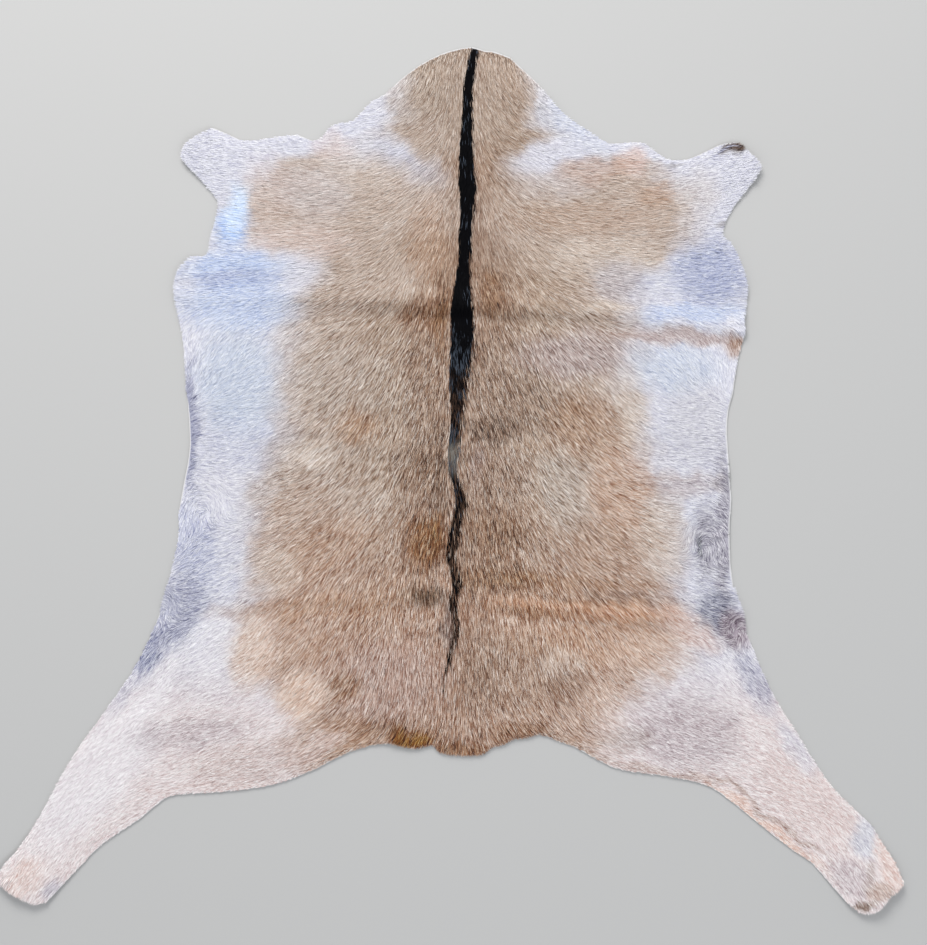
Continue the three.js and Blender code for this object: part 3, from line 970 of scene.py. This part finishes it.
def build_hair(name, chosen):
    points = blades[chosen]
    count = len(points)
    mesh = bpy.data.meshes.new(name)
    mesh.vertices.add(count * 4)
    mesh.vertices.foreach_set("co", points.ravel())
    first = np.arange(count)[:, None] * 4
    mesh.loops.add(count * 6)
    mesh.loops.foreach_set("vertex_index", (first + np.array(CORNERS)).ravel())
    mesh.polygons.add(count * 2)
    mesh.polygons.foreach_set("loop_start", np.arange(count * 2) * 3)
    mesh.update(calc_edges=True)
    tint = np.repeat(np.concatenate([tints[chosen], np.ones((count, 1))], axis=1), 4, axis=0)
    mark_points(mesh, "hair_colour", "FLOAT_COLOR", tint)
    # The along mark sets how strongly the finish darkens towards the root, as painted shade, and lightens
    # towards the tip; most on the saddle.
    strength = (0.15 + 0.4 * (saddle * lively)[chosen])[:, None]
    mark_points(mesh, "along", "FLOAT", 0.5 + (ALONG - 0.5) * strength)
    cell, across = lay_cells(points[:, 0], int(math.ceil(math.sqrt(count))))
    u = (cell[:, :1] + CELL_U[CORNERS]) / across
    v = (cell[:, 1:] + CELL_V[CORNERS]) / across
    mesh.uv_layers.new(name="OFBake").data.foreach_set("uv", np.stack([u, v], axis=-1).ravel())
    piece = bpy.data.objects.new(name, mesh)
    bpy.context.scene.collection.objects.link(piece)
    print(name, count, "hairs")
    return piece

# %% [markdown]
# The strips are cut where they hold equal numbers of hairs.

# %% Split the coat into strips
STRIPS = [
    "coat_left_edge", "coat_left_flank", "coat_left_back", "coat_back",
    "coat_right_back", "coat_right_flank", "coat_right_edge",
]
coat_order = np.flatnonzero(~is_stripe)
coat_order = coat_order[np.argsort(root_x[coat_order])]
shares = np.array_split(coat_order, len(STRIPS))
coat = [build_hair(name, chosen) for name, chosen in zip(STRIPS, shares)]
back_stripe = build_hair("back_stripe_hair", np.flatnonzero(is_stripe))

# %% [markdown]
# ## Finishing the leather
# Between the hairs the skin shows in the coat's own tones, darkened under the saddle with painted shade of
# the hair above it, and the cut rim and flesh side are pale suede. So the sheet carries two marks for its
# finish: the coat's colour, and how bare each place is.

# %% Mark the sheet with the coat's colour
PAINTED_SHADE_UNDER_SADDLE = 0.5
points = sheet_points()
x_mm, y_mm = points[:, 0] / MM, points[:, 1] / MM
under_colour = coat_colour(x_mm, y_mm)
# Painted shade: under the long saddle hair the skin's colour is darkened by up to half.
under_colour *= 1 - PAINTED_SHADE_UNDER_SADDLE * saddle_share(x_mm, y_mm)[:, None]
under_stripe = stripe_share(x_mm, y_mm)[:, None]
under_colour = under_colour * (1 - under_stripe) + paint["black"] * under_stripe
marks = np.concatenate([under_colour, np.ones((len(points), 1))], axis=1)
mark_points(leather.data, "coat_colour", "FLOAT_COLOR", marks)
mark_points(leather.data, "margin", "FLOAT", sheet_margin)
print("sheet marked at", len(points), "points")

# %% [markdown]
# The sheet is then given its thickness upward, with the flesh side staying where the solid had it.

# %% Thicken the sheet
bpy.ops.object.select_all(action="DESELECT")
leather.select_set(True)
bpy.context.view_layer.objects.active = leather
solidify = leather.modifiers.new("thickness", "SOLIDIFY")
solidify.thickness = LEATHER_THICKNESS
solidify.offset = 1
bpy.ops.object.modifier_apply(modifier="thickness")
bpy.ops.object.shade_smooth_by_angle(angle=math.radians(50))
print("leather:", len(leather.data.polygons), "faces,", [round(v, 4) for v in leather.dimensions])

# %% [markdown]
# ## Materials
# A small class keeps the shader recipes readable: a value stands for a node's output, and ordinary signs
# such as plus and times make the Math nodes.

# %% Wrap shader sockets
class Value:
    def __init__(self, recipe, socket):
        self.recipe = recipe
        self.socket = socket

    def calc(self, operation, first, second):
        return self.recipe.node("ShaderNodeMath", {"operation": operation}, [first, second])

    def __add__(self, other):
        return self.calc("ADD", self, other)

    def __radd__(self, other):
        return self.calc("ADD", other, self)

    def __sub__(self, other):
        return self.calc("SUBTRACT", self, other)

    def __rsub__(self, other):
        return self.calc("SUBTRACT", other, self)

    def __mul__(self, other):
        return self.calc("MULTIPLY", self, other)

    def __rmul__(self, other):
        return self.calc("MULTIPLY", other, self)

print("Value wraps one output of a node")

# %% [markdown]
# A recipe is one material. Its method node adds a node of a given kind, applies its settings first and then
# fills its inputs, linking values and writing plain numbers.

# %% Write material recipes
class Recipe:
    def __init__(self, name):
        self.material = bpy.data.materials.new(name)
        self.material.use_nodes = True
        self.tree = self.material.node_tree
        self.surface = self.tree.nodes["Principled BSDF"]

    def node(self, kind, settings=None, inputs=(), output=0):
        made = self.tree.nodes.new(kind)
        for key, value in (settings or {}).items():
            setattr(made, key, value)
        pairs = inputs.items() if isinstance(inputs, dict) else enumerate(inputs)
        for key, value in pairs:
            self.fill(made.inputs[key], value)
        return Value(self, made.outputs[output])

    def fill(self, socket, value):
        if isinstance(value, Value):
            self.tree.links.new(value.socket, socket)
        else:
            socket.default_value = value

    def attribute(self, name, output):
        return self.node("ShaderNodeAttribute", {"attribute_name": name}, output=output)

    def noise(self, scale, detail=2.0):
        place = self.node("ShaderNodeTexCoord", output="Object")
        inputs = {"Vector": place, "Scale": scale, "Detail": detail}
        return self.node("ShaderNodeTexNoise", {}, inputs, output="Fac")

    def mix(self, share, first, second):
        return self.node("ShaderNodeMix", {"data_type": "RGBA"}, {0: share, 6: first, 7: second}, output=2)

    def scale(self, colour, amount):
        return self.node("ShaderNodeVectorMath", {"operation": "SCALE"}, {0: colour, "Scale": amount})

    def set(self, **inputs):
        for name, value in inputs.items():
            self.fill(self.surface.inputs[name.replace("_", " ")], value)

print("Recipe makes one material")

# %% [markdown]
# Hair is darker and warmer at the root, where it is crowded and shaded, and lightest towards the tip: the
# darkening at the root is painted shade in the base colour. Its smooth scales give it a soft satin shine.

# %% Mix the finish of the hair
FLECKS = 900.0

def hair_finish(name, root_light, tip_light, roughness, shine, fuzz):
    recipe = Recipe(name)
    colour = recipe.attribute("hair_colour", "Color")
    along = recipe.attribute("along", "Fac")
    fleck = recipe.noise(FLECKS)
    light = root_light + along * (tip_light - root_light) + (fleck - 0.5) * 0.25
    recipe.set(Base_Color=recipe.scale(colour, light), Roughness=roughness)
    recipe.surface.inputs["Specular IOR Level"].default_value = shine
    recipe.surface.inputs["Sheen Weight"].default_value = fuzz
    recipe.surface.inputs["Sheen Roughness"].default_value = 0.4
    return recipe.material

coat_hair = hair_finish("coat_hair", root_light=0.42, tip_light=1.53, roughness=0.5, shine=0.35, fuzz=0.08)
stripe_hair = hair_finish("stripe_hair", root_light=0.7, tip_light=1.3, roughness=0.6, shine=0.04, fuzz=0.0)
for piece in coat:
    piece.data.materials.append(coat_hair)
back_stripe.data.materials.append(stripe_hair)
print("hair finishes:", coat_hair.name, stripe_hair.name)

# %% [markdown]
# The leather's upper face takes the coat's colour, darkened with painted shade, as skin in the shade of hair
# is. Within two millimetres of the cut it turns to pale suede.

# %% Mix the finish of the leather
DARK_SUEDE, PALE_SUEDE = (0.54, 0.54, 0.55, 1), (0.68, 0.67, 0.68, 1)
RIM_FROM, RIM_TO = 0.8 * MM, 1.8 * MM

def leather_finish():
    recipe = Recipe("dressed_skin")
    coat_tone = recipe.attribute("coat_colour", "Color")
    margin = recipe.attribute("margin", "Fac")
    grain = recipe.noise(420.0, 6.0)
    rim = recipe.node("ShaderNodeMapRange", {}, [margin, RIM_FROM, RIM_TO, 1.0, 0.0])
    suede = recipe.mix(grain, DARK_SUEDE, PALE_SUEDE)
    # Painted shade: the skin's coat colour is darkened a little more, varying with the grain.
    shaded = recipe.scale(coat_tone, 0.84 + grain * 0.16)
    recipe.set(Base_Color=recipe.mix(rim, shaded, suede), Roughness=0.78 + grain * 0.15)
    relief = {"Strength": 0.35, "Distance": 0.4 * MM, "Height": grain}
    recipe.set(Normal=recipe.node("ShaderNodeBump", {}, relief, output="Normal"))
    recipe.surface.inputs["Specular IOR Level"].default_value = 0.25
    return recipe.material

leather.data.materials.append(leather_finish())
print("leather finish:", leather.data.materials[0].name)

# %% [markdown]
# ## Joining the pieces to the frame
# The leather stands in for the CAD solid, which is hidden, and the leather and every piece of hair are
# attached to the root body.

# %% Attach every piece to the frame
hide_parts("goatskin_hide")
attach(leather, "root")
for piece in coat:
    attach(piece, "root")
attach(back_stripe, "root")
print("pieces:", 2 + len(coat))

# %% [markdown]
# ## The floor, the light and the camera
# The skin lies on a plain pale floor. A wide soft lamp stands above the neck end and a weaker one fills from
# the other side, so the creases are lit on their upper slopes and shaded below.

# %% Lay the floor
bpy.ops.object.select_all(action="DESELECT")
bpy.ops.mesh.primitive_plane_add(size=8, location=(0, 0, -0.0005))
floor = bpy.context.active_object
floor.name = "studio_floor"
floor_recipe = Recipe("pale_floor")
floor_recipe.set(Base_Color=(0.46, 0.46, 0.46, 1), Roughness=0.8)
floor.data.materials.append(floor_recipe.material)
print("floor", floor.name)

# %% [markdown]
# The sky over the studio is an even white, and two area lamps give the light its direction.

# %% Set the lights
world = bpy.data.worlds.new("studio_sky")
world.use_nodes = True
world.node_tree.nodes["Background"].inputs["Color"].default_value = (0.96, 0.98, 1.0, 1)
world.node_tree.nodes["Background"].inputs["Strength"].default_value = 0.66
bpy.context.scene.world = world

def add_lamp(name, place, size, power, colour):
    bpy.ops.object.light_add(type="AREA", location=place)
    lamp = bpy.context.active_object
    lamp.name = name
    lamp.rotation_euler = Vector(place).to_track_quat("Z", "Y").to_euler()
    lamp.data.shape = "DISK"
    lamp.data.size = size
    lamp.data.energy = power
    lamp.data.color = colour
    return lamp

key = add_lamp("key_lamp", (-0.5, 2.3, 1.9), 1.6, 76, (1.0, 0.98, 0.95))
fill = add_lamp("fill_lamp", (0.8, -1.8, 2.6), 2.4, 22, (0.94, 0.97, 1.0))
print("lamps:", key.name, fill.name)

# %% [markdown]
# The camera looks straight down from about three metres with a long lens, and the skin fills the picture.

# %% Place the camera
CAMERA_PLACE = (0.0139, 0.0078, 2.94)
bpy.ops.object.camera_add(location=CAMERA_PLACE, rotation=(0, 0, 0))
camera = bpy.context.active_object
camera.name = "camera_above"
camera.data.lens = 100
camera.data.sensor_width = 36
bpy.context.scene.camera = camera
bpy.context.scene.view_settings.view_transform = "Standard"
print("camera at", [round(v, 3) for v in camera.location])
